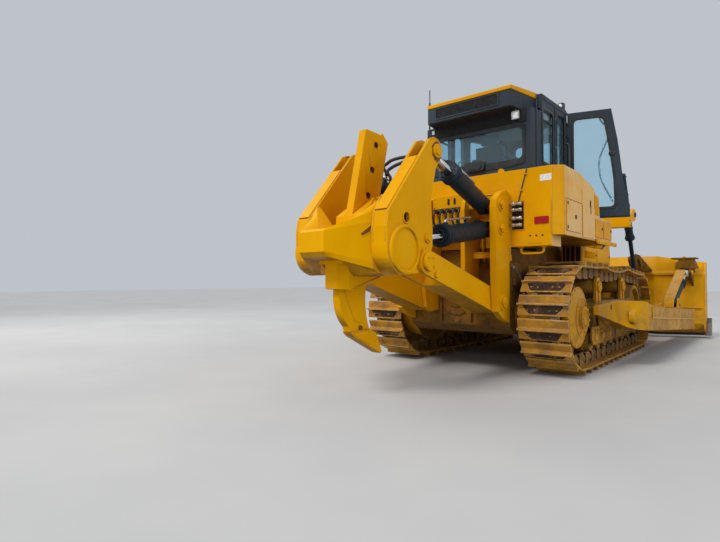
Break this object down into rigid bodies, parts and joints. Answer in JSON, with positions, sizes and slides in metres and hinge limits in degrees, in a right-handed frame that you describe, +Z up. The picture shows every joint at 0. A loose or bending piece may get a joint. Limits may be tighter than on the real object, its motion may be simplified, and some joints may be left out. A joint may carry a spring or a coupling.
{
  "type": "crawler dozer with single-shank ripper",
  "caption": "Large tracked bulldozer with a wing blade, glazed cab, rear tank and a hinged ripper with one pinned shank.",
  "frame": {"origin": "on the ground, at the middle of the overall length and width", "axes": "+X forward towards the blade, +Y to the operator's left, +Z up"},
  "size_m": [9.996, 4.72, 4.27],
  "materials": {
    "yellow_paint": "satin",
    "track_steel": "worn",
    "yellow_soiled": "matt, soiled",
    "cab_grey": "satin",
    "black_metal": "satin",
    "rod_chrome": "polished",
    "window_glass": "clear",
    "seat_fabric": "woven",
    "cab_plastic": "matt",
    "edge_steel": "worn",
    "lamp_white": "gloss"
  },
  "bodies": {
    "machine": {"track_r": "track_steel", "track_l": "track_steel", "sprockets": "yellow_soiled", "final_drives": "yellow_soiled", "idlers": "yellow_soiled", "track_rollers": "yellow_soiled", "carrier_rollers": "yellow_soiled", "track_frames": "yellow_soiled", "trunnions": "yellow_soiled", "pivot_shaft": "yellow_soiled", "equalizer_bar": "yellow_soiled", "main_frame": "yellow_soiled", "belly_guard": "black_metal", "engine_block": "black_metal", "transmission_cover": "yellow_soiled", "hood_top": "yellow_paint", "engine_sides": "yellow_paint", "radiator_guard": "yellow_paint", "radiator_grille": "black_metal", "exhaust_stack": "black_metal", "air_precleaner": "black_metal", "fuel_tank": "yellow_paint", "step_boxes": "yellow_paint", "fenders": "yellow_paint", "side_boxes": "yellow_paint", "rear_valve_box": "yellow_paint", "rear_steps": "yellow_paint", "cab_frame": "cab_grey", "cab_roof": "cab_grey", "roof_cap": "yellow_paint", "cab_glass": "window_glass", "operator_seat": "seat_fabric", "cab_consoles": "cab_plastic", "work_lamps": "lamp_white", "aerial": "black_metal", "lift_yokes": "yellow_paint", "ripper_posts": "yellow_paint"},
    "push_frame": {"blade": "yellow_paint", "cutting_edge": "edge_steel", "blade_brackets": "yellow_paint", "push_arms": "yellow_paint", "blade_tilt_barrels": "black_metal", "blade_tilt_rods": "rod_chrome"},
    "lift_barrels": {"blade_lift_barrels": "black_metal"},
    "lift_rods": {"blade_lift_rods": "rod_chrome"},
    "right_door": {"door_r": "cab_grey", "door_glass_r": "window_glass"},
    "left_door": {"door_l": "cab_grey", "door_glass_l": "window_glass"},
    "rip_arms": {"ripper_arms": "yellow_paint"},
    "rip_pins": {"ripper_pins": "yellow_paint"},
    "rip_beam": {"ripper_beam": "yellow_paint", "ripper_brackets": "yellow_paint"},
    "rip_shank": {"ripper_shank": "yellow_paint", "ripper_tip": "yellow_paint"},
    "pitch_barrels": {"ripper_pitch_barrels": "black_metal"},
    "pitch_rods": {"ripper_pitch_rods": "rod_chrome"},
    "raise_barrels": {"ripper_raise_barrels": "black_metal"},
    "raise_rods": {"ripper_raise_rods": "rod_chrome"}
  },
  "joints": [
    {"name": "blade_lift", "type": "hinge", "parent": "machine", "child": "push_frame", "pos_m": [-0.458, 0, 0.72], "axis": [0, -1, 0], "range_deg": [-5, 12]},
    {"name": "lift_barrel_swing", "type": "hinge", "parent": "machine", "child": "lift_barrels", "pos_m": [3.112, 0, 2.62], "axis": [0, 1, 0], "range_deg": [-16.45, 6.85]},
    {"name": "lift_rod_slide", "type": "slide", "parent": "lift_barrels", "child": "lift_rods", "axis": [0.4821, 0, -0.8761], "range_m": [-0.8567, 0.357]},
    {"name": "right_door_hinge", "type": "hinge", "parent": "machine", "child": "right_door", "pos_m": [-0.146, -0.925, 3.1], "axis": [0, 0, 1], "range_deg": [0, 90]},
    {"name": "left_door_hinge", "type": "hinge", "parent": "machine", "child": "left_door", "pos_m": [-0.146, 0.925, 3.1], "axis": [0, 0, 1], "range_deg": [0, 90]},
    {"name": "ripper_lift", "type": "hinge", "parent": "machine", "child": "rip_arms", "pos_m": [-2.298, 0, 0.975], "axis": [0, 1, 0], "range_deg": [-40, 6]},
    {"name": "ripper_level", "type": "hinge", "parent": "rip_arms", "child": "rip_pins", "pos_m": [-3.962, 0, 1.455], "axis": [0, 1, 0], "range_deg": [-7, 41]},
    {"name": "ripper_pitch", "type": "hinge", "parent": "rip_pins", "child": "rip_beam", "pos_m": [-3.962, 0, 1.455], "axis": [0, 1, 0], "range_deg": [-12, 10]},
    {"name": "shank_depth", "type": "slide", "parent": "rip_beam", "child": "rip_shank", "axis": [-0.2317, 0, -0.9728], "range_m": [0, 0.608]},
    {"name": "pitch_barrel_swing", "type": "hinge", "parent": "machine", "child": "pitch_barrels", "pos_m": [-2.368, 0, 2.235], "axis": [0, 1, 0], "range_deg": [-50.12, 7.52]},
    {"name": "pitch_rod_slide", "type": "slide", "parent": "pitch_barrels", "child": "pitch_rods", "axis": [-0.9465, 0, 0.3226], "range_m": [-0.2217, 0.2661]},
    {"name": "raise_barrel_swing", "type": "hinge", "parent": "machine", "child": "raise_barrels", "pos_m": [-2.368, 0, 1.93], "axis": [0, 1, 0], "range_deg": [-37.62, 5.64]},
    {"name": "raise_rod_slide", "type": "slide", "parent": "raise_barrels", "child": "raise_rods", "axis": [-0.9903, 0, -0.1387], "range_m": [-0.073, 0.4868]}
  ],
  "couplings": [
    {"joint": "lift_barrel_swing", "follows": "blade_lift", "ratio": -1.3438},
    {"joint": "lift_rod_slide", "follows": "blade_lift", "m_per_rad": -4.0102},
    {"joint": "ripper_level", "follows": "ripper_lift", "ratio": -1},
    {"joint": "pitch_barrel_swing", "follows": "ripper_lift", "ratio": 1.2285},
    {"joint": "pitch_rod_slide", "follows": "ripper_pitch", "m_per_rad": -1.2456},
    {"joint": "raise_barrel_swing", "follows": "ripper_lift", "ratio": 0.922},
    {"joint": "raise_rod_slide", "follows": "ripper_lift", "m_per_rad": -0.6837}
  ]
}
